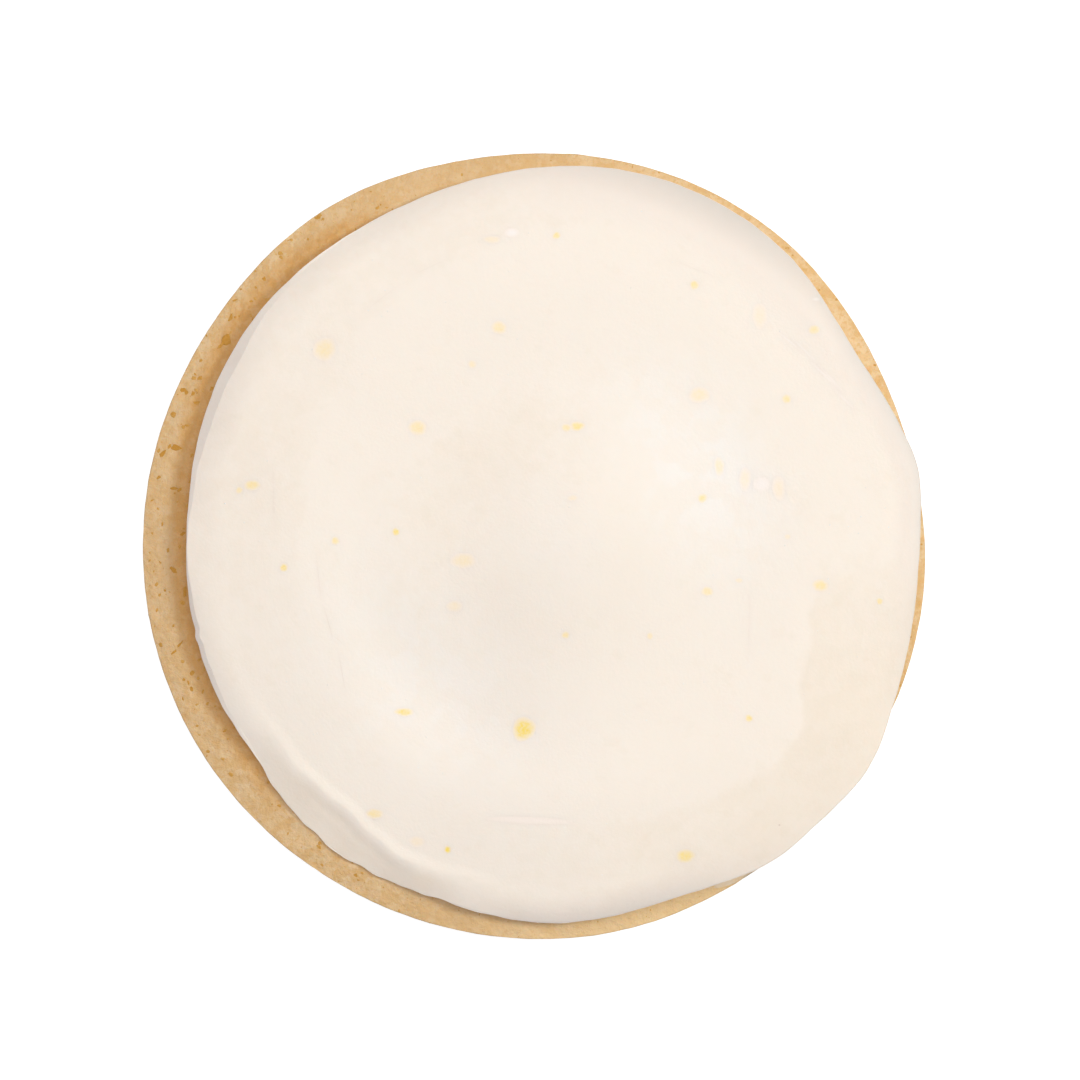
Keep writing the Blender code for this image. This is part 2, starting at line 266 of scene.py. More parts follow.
tears = {
    # place from the biscuit's middle in mm, half length, half width, lean in degrees, depth of colour
    "marked": (
        (-31.3, 20.9, 0.62, 0.42, 20, 1), (-31.9, 20.3, 0.4, 0.15, 50, 0.8), (-30.9, 23.1, 0.5, 0.2, 60, 0.8),
        (-35.8, 15.8, 0.34, 0.26, 40, 1), (-35.4, 15.6, 0.3, 0.2, 100, 0.9), (-33.9, 18.8, 0.2, 0.16, 0, 0.6),
        (-34, 17, 0.26, 0.2, 30, 0.8), (-32.8, 15.9, 0.24, 0.18, 60, 0.9), (-34.3, 14.5, 0.34, 0.24, 10, 0.8),
        (-36.7, 13.3, 0.3, 0.26, 70, 0.7), (-35.2, 12.2, 0.26, 0.14, 0, 0.7), (-36.4, 9.95, 0.52, 0.3, -5, 1),
        (-37.1, 10.1, 0.26, 0.16, 60, 0.8), (-37.8, 9.3, 0.42, 0.2, 50, 0.9), (-34.8, 9.2, 0.26, 0.18, 60, 0.8),
        (-38.2, 6.9, 0.34, 0.16, 30, 0.9), (-36.6, 5.8, 0.42, 0.14, -12, 1), (-36, 5.7, 0.28, 0.18, 40, 0.9),
        (-37.8, 2.2, 0.3, 0.16, 80, 0.9), (-35.7, 1.2, 0.34, 0.18, 20, 1), (-37.2, -0.5, 0.26, 0.16, 60, 0.7),
        (-36.6, -2.5, 0.46, 0.26, -40, 1), (-35.5, -4.7, 0.6, 0.18, 85, 1), (-38.4, -3.9, 0.26, 0.18, 40, 0.6),
        (-38.1, -5, 0.26, 0.18, 60, 0.6), (-36, -10, 0.5, 0.12, 50, 0.9), (-36.6, -10.8, 0.4, 0.12, 35, 0.9),
        (-34.7, -12.9, 0.26, 0.2, 60, 0.7), (-35.6, -13.6, 0.22, 0.16, 30, 0.7),
        (-34.8, -14.6, 0.26, 0.18, 100, 0.8), (-33.7, -14.8, 0.2, 0.14, 70, 0.7), (-33.2, -16, 0.22, 0.16, 50, 0.7),
        (25.5, 30.2, 0.1, 0.07, 30, 1), (26.2, 29.5, 0.09, 0.07, 0, 1), (28.9, 26, 0.1, 0.06, 60, 1),
        (37.9, 2.2, 0.3, 0.06, 75, 0.9), (37.8, 1.7, 0.16, 0.05, 20, 0.9), (38.2, -9.4, 0.2, 0.08, 80, 0.8),
    ),
    "grow": 1.45,
    "count": 1300,
    "size": (0.06 * mm, 0.38 * mm),
    "side": 170, "spread": 60, "rest": 0.42,  # most of them lie on this side
    "dent": 0.07 * mm,
    "lift": 0.018 * mm,
    "sunk": 0.05 * mm,
    "rings": (0, 0.7, 1),
    "steps": 20,
    "seed": 4,
}


def placeTears():  # direction, arc, half length, half width, lean and depth of every tear
    draw = np.random.default_rng(tears["seed"])
    placed = []
    for x, y, halfLong, halfWide, lean, depth in tears["marked"]:
        direction = math.degrees(math.atan2(y, x))
        radius = math.hypot(x, y) * mm * biscuit["radius"] / float(lobed(biscuit, np.array([direction]))[0])
        top = section[1][:np.argmax(section[1])]
        arc = float(np.interp(radius, top, section[0][:len(top)]))
        placed.append((direction, arc, tears["grow"] * halfLong * mm, tears["grow"] * halfWide * mm,
                       math.radians(lean - direction), depth))
    shownArc = section[0][sectionShown]
    for _ in range(tears["count"]):
        direction, arc = draw.uniform(0, 360), draw.uniform(shownArc.min(), shownArc.max())
        size = tears["size"][0] + tears["size"][1] * draw.random() ** 2.5
        keep, narrow = draw.random(), draw.uniform(0.4, 0.9)
        lean, depth = draw.uniform(0, math.pi), draw.uniform(0.3, 0.9)
        if keep < tears["rest"] + (1 - tears["rest"]) * bell(turnFrom(direction, tears["side"]), tears["spread"]):
            placed.append((direction, arc, size, size * narrow, lean, depth))
    return placed


placedTears = placeTears()
girth = 2 * math.pi * biscuit["radius"]


def dentAt(angle, arc):  # how far the crumb is sunk around the larger tears
    dents = np.zeros(np.broadcast(angle, arc).shape)
    for direction, middle, halfLong, halfWide, lean, depth in placedTears:
        if halfLong > 0.22 * mm:
            outward, sideways = arc - middle, turnFrom(angle, direction) / 360 * girth
            near = (np.abs(outward) < 1.5 * mm) & (np.abs(sideways) < 1.5 * mm)
            along = outward[near] * math.cos(lean) + sideways[near] * math.sin(lean)
            across = sideways[near] * math.cos(lean) - outward[near] * math.sin(lean)
            distance = np.hypot(along / (halfLong + 0.1 * mm), across / (halfWide + 0.1 * mm))
            dents[near] = np.maximum(dents[near], tears["dent"] * depth * (1 - ease(distance / 1.2)))
    return dents


def makeTears():  # little angular tears in the crust that show the golden crumb
    draw = np.random.default_rng(tears["seed"] + 1)
    parts, depths = [], []
    for direction, middle, halfLong, halfWide, lean, depth in placedTears:
        count = int(draw.integers(5, 8))
        turned = 2 * math.pi * (np.arange(count) + draw.uniform(-0.3, 0.3, count)) / count
        reach = draw.uniform(0.6, 1.2, count)
        corners = np.stack([np.cos(turned) * reach * halfLong, np.sin(turned) * reach * halfWide])
        corners = np.hstack([corners, corners[:, :1]])
        step = np.arange(tears["steps"]) / tears["steps"] * count
        long, wide = [np.interp(step, np.arange(count + 1), corner) for corner in corners]
        outline = long * math.cos(lean) - wide * math.sin(lean), long * math.sin(lean) + wide * math.cos(lean)

        def place(outward, sideways, offset):
            return crumbPoint(direction + sideways / girth * 360, middle + outward, offset)

        parts.append(lensPart(place, (0, 0), outline, tears))
        depths.append(np.full(len(parts[-1][0]), depth))
    piece = makePiece("crustTears", parts)
    keepValue(piece, "depth", np.concatenate(depths))
    return piece


def makeBiscuit():
    share = np.arange(biscuit["steps"]) / biscuit["steps"]
    angle = 360 * (share + biscuit["leftDensity"] * np.sin(2 * math.pi * share))
    angles, arcs = np.meshgrid(angle, section[0])
    x, y, z = crumbPoint(angles, arcs, 0)
    shown = sectionShown[:, None] + np.zeros_like(x)
    fromCentre, around = polar(x - icing["centreX"], y)
    # painted shadow of the icing on the crumb beside it
    direction, spread, further = biscuit["shadowWide"]
    half = biscuit["shadowHalf"] + further * bell(turnFrom(angles, direction), spread)
    paintedShadow = stretch(np.maximum(fromCentre - icingReach(around), 0), half, biscuit["shadowSoft"])
    paintedShadow *= stretch(turnFrom(angles, biscuit["shadowSide"]), 46, 14) * shown
    # painted shade on stretches of the rim
    rimShade = sum(strength * bell(turnFrom(angles, side), spread) for side, spread, strength in biscuit["rimShade"])
    crease = int(np.argmin(np.abs(section[1] - biscuit["radius"])))
    piece = makePiece("bakedRound", [shellPart(x, y, z, (crease,))])
    # painted light: the lower rim is lighter
    low = bell(turnFrom(angles, biscuit["lowSide"]), 17)
    for name, values in (("paintedShadow", paintedShadow), ("low", low * shown), ("rimShade", rimShade * shown),
                         ("baked", 1 - ease(z / biscuit["bakedHeight"]))):
        keepValue(piece, name, rowValues(values))
    return piece


icing = {
    "centreX": 0.05 * biscuit["radius"],
    "reach": 37.38 * mm,
    "thickness": 2.7 * mm,
    "steps": 760,
    "chamferRows": 8,
    "wallRows": 10,
    "wallBulge": 0.03 * mm,
    "wallWave": 0.07 * mm, "wallWaveSize": 2.6 * mm,  # slight hollows of the upright side
    "wallGrey": 0.2,  # share of the edge's painted grey shade that the upright side keeps
    "footTuck": 0.16 * mm,  # how far the foot draws in below the edge
    "underRows": 5,
    "sink": 0.12 * mm,  # how far its underside goes into the crumb
    # direction and spread in degrees, reach past the mean in mm
    "lobes": (
        (11.6, 3.8, 0.35), (33.1, 10, -1.45), (76.6, 20, 1.25), (144.4, 15, 0.71), (175.5, 7.3, -0.27),
        (213.7, 4.1, -0.4), (234.6, 7.8, 0.55), (269, 9.9, 0.7), (305.5, 7.3, 1.29), (323.6, 7.3, 1.43),
        (355, 9.9, -0.66), (18, 38, 0.11), (231, 8, 0.13), (243, 5, 0.12), (270, 18, 0.09), (342, 8, 0.08),
    ),
    # direction; share of the height that stands upright, run of the chamfer above it, height share at its crease,
    # width and power of the rounding inside the crease, fall of the top towards the edge; lengths in mm
    "stations": (
        (0, 0.89, 0.04, 0.92, 1.8, 2.3, 0), (30, 0.89, 0.04, 0.92, 2.2, 2.2, 0),
        (65, 0.5, 0.04, 0.53, 4.2, 2.1, 0.2), (95, 0.74, 0.04, 0.77, 2.7, 2.5, 1.1),
        (118, 0.56, 0.06, 0.59, 3.5, 2.5, 1), (130, 0.58, 0.2, 0.68, 3.8, 2.4, 0.4),
        (140, 0.55, 0.65, 0.78, 3.7, 2.3, 0.3), (150, 0.44, 1.15, 0.8, 3.4, 2.2, 0.1),
        (160, 0.46, 1, 0.78, 3, 1.9, 0.1), (171, 0.7, 0.45, 0.85, 2.9, 2, 0.1),
        (180, 0.85, 0.04, 0.88, 4.5, 2.2, 0), (190, 0.7, 0.45, 0.87, 2.5, 2.3, 0),
        (200, 0.66, 0.55, 0.85, 2.5, 2.3, 0), (210, 0.68, 0.35, 0.8, 2.7, 2.3, 0.1),
        (219, 0.5, 0.05, 0.52, 3, 1.4, 0.2), (226, 0.3, 0.04, 0.32, 3.7, 1.2, 0.1),
        (232, 0.26, 0.04, 0.28, 4.1, 1.15, 0.1), (238, 0.3, 0.04, 0.32, 3.5, 1.2, 0.1),
        (244, 0.34, 0.04, 0.36, 2.7, 1.3, 0.1), (249, 0.54, 0.04, 0.57, 2.6, 1.6, 0.2),
        (256, 0.72, 0.04, 0.75, 3, 2.2, 0.2), (264, 0.66, 0.04, 0.69, 2.8, 2.5, 0.3),
        (280, 0.73, 0.04, 0.76, 3.2, 2.1, 0.1), (300, 0.79, 0.04, 0.82, 6.2, 2.3, 0.1),
        (320, 0.82, 0.04, 0.85, 6.3, 1.3, 0), (338, 0.8, 0.04, 0.83, 3.5, 2, 0.5),
    ),
    "brinkRound": 0.08 * mm,  # small round where the top meets the wall
    # waves a turn, height and shift of the edge's small scallops, and where they are strongest
    "scallops": ((31, 0.06 * mm, 0.4), (49, 0.07 * mm, 2.1), (83, 0.05 * mm, 4)),
    "scallopSide": 236, "scallopSpread": 16, "scallopRest": 0.2,
    "nicks": ((194.4, 0.5, 0.14 * mm), (192.9, 0.6, -0.08 * mm)),
    "fallStart": 26 * mm,
}


def icingReach(angle):
    strength = icing["scallopRest"] + (1 - icing["scallopRest"]) * bell(
        turnFrom(angle, icing["scallopSide"]), icing["scallopSpread"])
    scallops = sum(size * np.sin(waves * np.radians(angle) + shift) for waves, size, shift in icing["scallops"])
    nicks = sum(size * bell(turnFrom(angle, direction), spread) for direction, spread, size in icing["nicks"])
    return lobed(icing, angle) + strength * scallops + nicks


def stationAt(angle, stations, units):  # the values of stations that start at 0 degrees, eased between them
    stations = np.array(stations) * units
    stations = np.vstack([stations, stations[0]])
    stations[-1, 0] = 360
    around = angle % 360
    before = np.clip(np.searchsorted(stations[:, 0], around, side="right") - 1, 0, len(stations) - 2)
    low, high = stations[before], stations[before + 1]
    share = ease((around - low[..., 0]) / (high[..., 0] - low[..., 0]))
    return [low[..., k] + (high[..., k] - low[..., k]) * share for k in range(1, stations.shape[1])]


def edgeStation(angle):  # upright share, chamfer run, crease share, width and power of the rounding, fall
    return stationAt(angle, icing["stations"], (1, 1, mm, 1, mm, 1, mm))


relief = {
    "hump": (3.4 * mm, 2.6 * mm, 17 * mm, 1.1 * mm),  # middle, radius, height
    "ring": (26.5 * mm, 8.5 * mm, 12 * mm, 0.5 * mm, 55, 0.45),  # radius, reach in and out, height, weak side, fade
    # direction and spread, the radii between which one side sinks, how deep
    "low": (233, 22, 3 * mm, 22 * mm, 1.6 * mm),
    # direction, half and soft spread; then the reach in and out and the height, or the place, half width and depth
    "fold": (235, 12, 24, 1.3 * mm, 3.4 * mm, 0.12 * mm), "groove": (236, 5, 8, 1.25 * mm, 0.85 * mm, 0.06 * mm),
    "wave": (4.5 * mm, 0.025 * mm),
}


def reliefAt(x, y):  # swells and hollows of the top, about the icing's own centre
    radius, angle = polar(x, y)
    middleX, middleY, reach, high = relief["hump"]
    height = high * (1 - ease(np.hypot(x - middleX, y - middleY) / reach))
    middle, inner, outer, high, side, fade = relief["ring"]
    strength = 1 - fade * (1 + np.cos(np.radians(angle - side)))
    height += high * strength * swell(radius - middle, inner, outer)
    side, spread, inner, outer, deep = relief["low"]
    height -= deep * bell(turnFrom(angle, side), spread) * ease((radius - inner) / (outer - inner))
    fromCrest = radius - lobed(icing, angle) + edgeStation(angle)[3]
    side, half, soft, inner, outer, high = relief["fold"]
    height += high * stretch(turnFrom(angle, side), half, soft) * swell(fromCrest, inner, outer)
    side, half, soft, out, wide, deep = relief["groove"]
    height -= deep * stretch(turnFrom(angle, side), half, soft) * swell(fromCrest - out, wide, wide)
    size, high = relief["wave"]
    return height + high * noiseAt(x, y, np.zeros_like(x), size, 37)


tone = {
    "jitter": 0.9 * mm, "jitterSize": 3 * mm,  # how ragged the band's start is
    # direction, radius where the darker outer band starts, its strength, how wide it starts; lengths in mm; the band
    # is partly thinner icing and partly painted shade
    "band": (
        (0, 27, 0.1, 1.5), (40, 32, 0, 3), (85, 32.5, 0, 3), (102, 31, 0.3, 2), (125, 29.5, 0.3, 1.8),
        (145, 27, 0.3, 1.6), (163, 25.9, 0.4, 1.2), (188, 25.7, 0.3, 1.6), (208, 28.6, 0.08, 4), (240, 28.9, 0, 2),
        (268, 28, 0.15, 2), (290, 28.9, 0.45, 2), (313, 31.3, 0.7, 1.6), (323, 30.7, 0.9, 1.2),
        (332, 28.4, 0.9, 1.2), (346, 26.8, 0.7, 1.4),
    ),
    # direction and spread in degrees, strength and width of the painted grey shade on the sloping edge
    "greyEdges": ((63, 20, 1, 6.5 * mm), (22, 23, 1.15, 3.1 * mm), (284, 13, 0.9, 3.2 * mm)),
    # direction and spread in degrees, radius, how far it reaches in and out, strength of the painted sheen, paler
    # stretches that stand in for light on the top
    "sheens": ((28, 26, 16.5 * mm, 11 * mm, 11 * mm, 0.9), (226, 30, 19 * mm, 13 * mm, 16 * mm, 0.58),
               (0, 400, 0, 1 * mm, 9 * mm, 0.25)),
    "apron": 0.9, "apronSoft": 1.2 * mm,  # painted shade, darker and warmer outside the fold
    # a painted shade in a crescent on the hump's shaded side: direction, half and soft spread, radius, how far it
    # reaches in and out, strength
    "crescent": (135, 42, 42, 12 * mm, 8 * mm, 8 * mm, 0.4),
}


def thinShadeAt(x, y):  # 0 to 1, how thin the icing looks plus the painted shade of the band, apron and crescent, about its own centre
    radius, angle = polar(x, y)
    start, strength, width = stationAt(angle, tone["band"], (1, mm, 1, mm))
    start = start + tone["jitter"] * noiseAt(x, y, np.zeros_like(x), tone["jitterSize"], 31)
    band = strength * ease((radius - start) / width + 0.5)
    side, half, soft, middle, inner, outer, share = tone["crescent"]
    crescent = share * stretch(turnFrom(angle, side), half, soft) * swell(radius - middle, inner, outer)
    side, half, soft = relief["fold"][:3]
    fromCrest = radius - lobed(icing, angle) + edgeStation(angle)[3]
    apron = tone["apron"] * stretch(turnFrom(angle, side), half, soft / 2) * ease(fromCrest / tone["apronSoft"])
    return np.maximum(np.maximum(band, apron), crescent)


def paleAt(x, y):  # 0 to 1, how strong the painted sheen is
    radius, angle = polar(x, y)
    return sum(strength * bell(turnFrom(angle, direction), spread) * swell(radius - middle, inner, outer)
               for direction, spread, middle, inner, outer, strength in tone["sheens"])


def greyAt(x, y):  # 0 to 1, how strong the painted grey shade on the icing's edge is
    radius, angle = polar(x, y)
    grey = np.zeros_like(radius)
    for direction, spread, strength, width in tone["greyEdges"]:
        near = np.clip(1 - (icingReach(angle) - radius) / width, 0, 1) ** 1.3
        grey = np.maximum(grey, strength * near * bell(turnFrom(angle, direction), spread))
    return grey


def innerTop(x, y):  # the icing's top before it rounds down at the edge
    share = np.hypot(x + icing["centreX"], y) / biscuit["radius"]
    return biscuit["thickness"] - biscuit["sag"] * share ** 3 + icing["thickness"] + reliefAt(x, y)


def icingTop(x, y):
    radius, angle = polar(x, y)
    upright, run, crease, rounding, power, fall = edgeStation(angle)
    reach = lobed(icing, angle)
    cosine, sine = towards(angle)
    foot = icingUnder(cosine * reach, sine * reach)
    past = np.clip((radius - icing["fallStart"]) / (reach - icing["fallStart"]), 0, 1)
    inner = innerTop(x, y) - fall * past ** 1.8
    inside = reach - run - radius
    shape = 1 - (1 - np.clip(inside / rounding, 0, 1)) ** power
    over = np.clip(1 - inside / icing["brinkRound"], 0, 1)
    brink = icing["brinkRound"] * (1 - np.sqrt(1 - over * over)) * (1 - ease(run / (0.2 * mm)))
    return foot + (inner - foot) * (crease + (1 - crease) * shape) - brink * crease


def icingUnder(x, y):
    return biscuitTopAt(x + icing["centreX"], y) - icing["sink"]


def makeIcing():
    angle = 360 * np.arange(icing["steps"]) / icing["steps"]
    mean = icing["reach"]
    rings = np.concatenate([
        np.arange(0, 20, 1), np.arange(20, 31, 0.4), np.arange(31, mean / mm - 0.2, 0.15),
        mean / mm - np.array([0.2, 0.15, 0.11, 0.08, 0.055, 0.035, 0.018, 0.005, 0])
    ]) * mm / mean
    reach = icingReach(angle)
    upright, run = edgeStation(angle)[:2]
    cosine, sine = towards(angle)
    topRadius = rings[:, None] * (reach - run)
    topX, topY = topRadius * cosine, topRadius * sine
    topZ = icingTop(topX, topY)
    foot = icingUnder(reach * cosine, reach * sine)
    ledge = foot + (innerTop((reach - run) * cosine, (reach - run) * sine) - foot) * upright
    ledge = np.minimum(ledge, topZ[-1] - 0.02 * mm)
    level = 1 - (np.arange(icing["chamferRows"]) + 1)[:, None] / icing["chamferRows"]
    chamferRadius = reach - run * level
    chamferZ = ledge + (topZ[-1] - ledge) * level
    level = 1 - (np.arange(icing["wallRows"]) + 1)[:, None] / icing["wallRows"]
    wallZ = foot + (ledge - foot) * level
    alongX, alongY = reach * cosine + 0 * level, reach * sine + 0 * level
    wave = 0.5 + 0.5 * noiseAt(alongX, alongY, wallZ, icing["wallWaveSize"], 41)
    bulge = (icing["wallBulge"] - icing["wallWave"] * wave) * np.sin(math.pi * level)
    wallRadius = reach + bulge - icing["footTuck"] * (1 - level) ** 2
    inward = 1 - ((np.arange(icing["underRows"]) + 1)[:, None] / icing["underRows"]) ** 1.5
    underX, underY = inward * wallRadius[-1] * cosine, inward * wallRadius[-1] * sine
    underZ = icingUnder(underX, underY)
    x = np.vstack([topX, chamferRadius * cosine, wallRadius * cosine, underX]) + icing["centreX"]
    y = np.vstack([topY, chamferRadius * sine, wallRadius * sine, underY])
    z = np.vstack([topZ, chamferZ, wallZ, underZ])
    creases = (len(topZ) - 1, len(topZ) + icing["chamferRows"] - 1)
    piece = makePiece("creamIcing", [shellPart(x, y, z, creases)])
    fromCentre = x - icing["centreX"]
    # painted grey shade at the edge, kept weaker on the upright side
    grey = greyAt(fromCentre, y)
    grey[len(topZ):] *= icing["wallGrey"]
    for name, values in (("thinshade", thinShadeAt(fromCentre, y)), ("grey", grey), ("pale", paleAt(fromCentre, y))):
        keepValue(piece, name, rowValues(values))
    return piece


flecks = {
    # place from the biscuit's middle, half width, half height, strength of the yellow
    "spots": (
        (-1.1, -18.5, 0.95, 0.92, 0.49), (-21.2, 19.8, 0.9, 0.9, 0.14), (-11.8, 11.9, 0.68, 0.66, 0.19),
        (4.3, 12.05, 0.62, 0.46, 0.24), (3.2, 11.9, 0.5, 0.4, 0.15), (-28.5, 6.1, 0.72, 0.44, 0.2),
        (-29.8, 5.6, 0.4, 0.36, 0.12), (-13.2, -16.8, 0.8, 0.38, 0.3), (15.2, -31.3, 0.8, 0.52, 0.3),
        (28.8, -4, 0.66, 0.52, 0.2), (16.6, 15.2, 0.78, 0.68, 0.12), (22.7, 23.2, 0.6, 0.95, 0.06),
        (21.2, 6.7, 0.48, 0.92, 0.07), (-3.6, 22, 0.64, 0.56, 0.16), (18.6, 8, 0.46, 0.76, 0.11),
        (-8.1, -6.1, 0.68, 0.5, 0.07), (-11.9, -29.9, 0.72, 0.45, 0.06), (17.4, -4.6, 0.56, 0.45, 0.16),
        (28.2, 21.8, 0.56, 0.44, 0.16), (-7.2, -1.5, 0.95, 0.64, 0.11), (-16.2, -27.1, 0.72, 0.46, 0.18),
        (16.9, 4.8, 0.48, 0.44, 0.19), (16.1, 26.3, 0.45, 0.46, 0.19), (25.4, 14.8, 0.46, 0.46, 0.16),
        (2.2, 31.3, 0.42, 0.4, 0.19), (-14, 1.4, 0.4, 0.4, 0.3), (21.6, -17.4, 0.42, 0.4, 0.2),
        (-25.3, -2.2, 0.42, 0.42, 0.22), (-4.3, 30.9, 0.8, 0.34, 0.06), (-20.1, 0.5, 0.42, 0.42, 0.17),
        (-8.8, -30.7, 0.4, 0.38, 0.3), (3.1, -9, 0.4, 0.4, 0.15), (-6.3, 18.3, 0.44, 0.42, 0.08),
        (34.8, -5.6, 0.38, 0.34, 0.17), (11.6, -9.1, 0.36, 0.36, 0.1), (20.6, -3.5, 0.42, 0.28, 0.06),
        (3.8, 4.8, 0.52, 0.32, 0.05), (25.5, 0.9, 0.34, 0.32, 0.05), (24.6, 5.8, 0.5, 0.95, 0.06),
    ),
    "spread": (1.12, 0.38),  # how much further the soft edge reaches for small ones, and more for large ones
    "lift": 0.018 * mm,
    "sunk": 0.05 * mm,
    "rings": (0, 0.2, 0.4, 0.55, 0.7, 0.85, 1),
    "steps": 28,
    "ragged": 0.16,
    "seed": 7,
}


def onIcing(x, y, offset):
    return x, y, icingTop(x - icing["centreX"], y) + offset


def makeMarks(name, marks, fadeFrom):  # marks are lenses that keep the icing's own normals and tone
    fade = 1 - ease((np.array(flecks["rings"])[:, None] - fadeFrom) / (1 - fadeFrom)) * np.ones(flecks["steps"])
    fade = np.vstack([fade, fade[-2::-1]])
    parts = [lensPart(onIcing, middle, outline, flecks) for middle, outline, strength in marks]
    points = np.vstack([part[0] for part in parts])
    x, y, step = points[:, 0] - icing["centreX"], points[:, 1], 0.02 * mm
    leanX = (icingTop(x + step, y) - icingTop(x - step, y)) / (2 * step)
    leanY = (icingTop(x, y + step) - icingTop(x, y - step)) / (2 * step)
    normals = np.stack([-leanX, -leanY, np.ones_like(x)], axis=-1)
    normals[points[:, 2] < icingTop(x, y) - 0.03 * mm] = (0, 0, -1)
    normals /= np.linalg.norm(normals, axis=-1)[:, None]
    piece = makePiece(name, parts, normals)
    for value, values in (("thinshade", thinShadeAt), ("grey", greyAt), ("pale", paleAt)):
        keepValue(piece, value, values(x, y))
    keepValue(piece, "strength", np.concatenate([rowValues(strength * fade) for middle, outline, strength in marks]))
    return piece


def makeFlecks():
    marks, turn = [], fullTurn(flecks["steps"])
    for number, (middleX, middleY, halfWide, halfHigh, strength) in enumerate(flecks["spots"]):
        draw = np.random.default_rng(flecks["seed"] + number)
        small, more = flecks["spread"]
        grown = float(ease(np.array((math.sqrt(halfWide * halfHigh) - 0.35) / 0.35)))
        ragged = (small + more * grown) * (1 + flecks["ragged"] * sum(
            draw.uniform(0.3, 1) / waves * np.sin(waves * turn + draw.uniform(0, 6.3)) for waves in (2, 3, 5, 7)))
        outline = ragged * np.cos(turn) * halfWide * mm, ragged * np.sin(turn) * halfHigh * mm
        pigment = min(1, (1.5 - 0.46 * grown) * (1 - (1 - strength) ** 2.3))
        marks.append(((middleX * mm, middleY * mm), outline, pigment))
    return makeMarks("yellowFlecks", marks, 0.28)


paleMarks = {
    "spots": ((-2.3, 31.6, 0.9, 0.55, 0.75), (22.9, 6.2, 1, 0.85, 0.5), (28.4, 24.9, 0.5, 0.25, 0.5)),
    # both ends of a light streak along the knife's line, painted as sheen, half width, strength
    "strokes": (
        (24.3, 21.8, 27.2, 19.4, 0.14, 0.3), (25.6, 21.3, 28.9, 18.1, 0.12, 0.3), (27.4, 19, 30.8, 15.7, 0.16, 0.3),
        (28.6, 18.3, 31.4, 15.2, 0.12, 0.25), (30, 16, 32.6, 13.4, 0.14, 0.25),
        (-5.5, -27.5, 4.5, -27.9, 0.4, 0.12),
    ),
}

hairlines = {
    "spots": ((24.7, -28.2, 0.15, 0.12, 1),),
    # both ends, half width, strength
    "strokes": (
        (-22.1, -0.5, -21.5, -5.8, 0.06, 0.16), (-21.4, -5.6, -20.2, -10, 0.06, 0.26),
        (-19.9, -10.2, -19, -15.4, 0.06, 0.26), (-20.4, -9, -19.2, -10, 0.05, 0.2),
        (-17.3, 23.5, -13.5, 26.5, 0.06, 0.12), (-13, 27, -8, 29.3, 0.06, 0.12), (13, 29.2, 19.5, 26.6, 0.06, 0.1),
        (21.7, -4, 21.5, -12, 0.06, 0.12), (-26.4, 8.5, -26.3, 1, 0.06, 0.12),
    ),
}


def makeStrokes(name, form):  # soft spots and straight thin strokes in the icing's top
    marks, turn = [], fullTurn(flecks["steps"])
    shapes = [(x, y, wide, high, 0, strength) for x, y, wide, high, strength in form["spots"]]
    for startX, startY, endX, endY, half, strength in form["strokes"]:
        shapes.append(((startX + endX) / 2, (startY + endY) / 2, math.hypot(endX - startX, endY - startY) / 2,
                       half, math.atan2(endY - startY, endX - startX), strength))
    for x, y, long, wide, lean, strength in shapes:
        long, wide = np.cos(turn) * long * mm, np.sin(turn) * wide * mm
        outline = long * math.cos(lean) - wide * math.sin(lean), long * math.sin(lean) + wide * math.cos(lean)
        marks.append(((x * mm, y * mm), outline, strength))
    return makeMarks(name, marks, 0.1)


smears = {
    # direction, half length, and how far out a thin film of icing was smeared on the crust
    "films": ((299, 5.5, 0.75 * mm), (349.5, 4, 0.22 * mm), (25, 5, 0.22 * mm)),
    "under": 1.2 * mm,
    "lift": 0.03 * mm, "sunk": 0.05 * mm,
    "rings": (0, 0.35, 0.7, 0.9, 1),
    "steps": 96,
}


def makeSmears():
    parts = []
    turn = fullTurn(smears["steps"])
    for direction, half, out in smears["films"]:
        wave = 1 + 0.12 * np.sin(3 * turn + direction) + 0.08 * np.sin(8 * turn + 1)
        outline = np.where(np.cos(turn) > 0, out, smears["under"]) * np.cos(turn) * wave, half * np.sin(turn)

        def place(outward, sideways, offset):
            angle = direction + sideways
            reach = icingReach(angle)
            cosine, sine = towards(angle)
            radius, around = polar(icing["centreX"] + reach * cosine, reach * sine)
            radius = (radius + outward) * biscuit["radius"] / lobed(biscuit, around)
            top = section[1][:np.argmax(section[1])]
            return crumbPoint(around, np.interp(radius, top, section[0][:len(top)]), offset)

        parts.append(lensPart(place, (0, 0), outline, smears))
    return makePiece("icingSmear", parts)


grains = {
    # about the icing's centre, in mm
    "marked": ((-35.2, -11.3), (-35, -11.9), (-34.8, -12.5), (-35.3, -10.8), (-34.5, -13)),
    "count": 90,
    "size": (0.035 * mm, 0.075 * mm),
    "furthest": 35 * mm,
    "seed": 21,
}


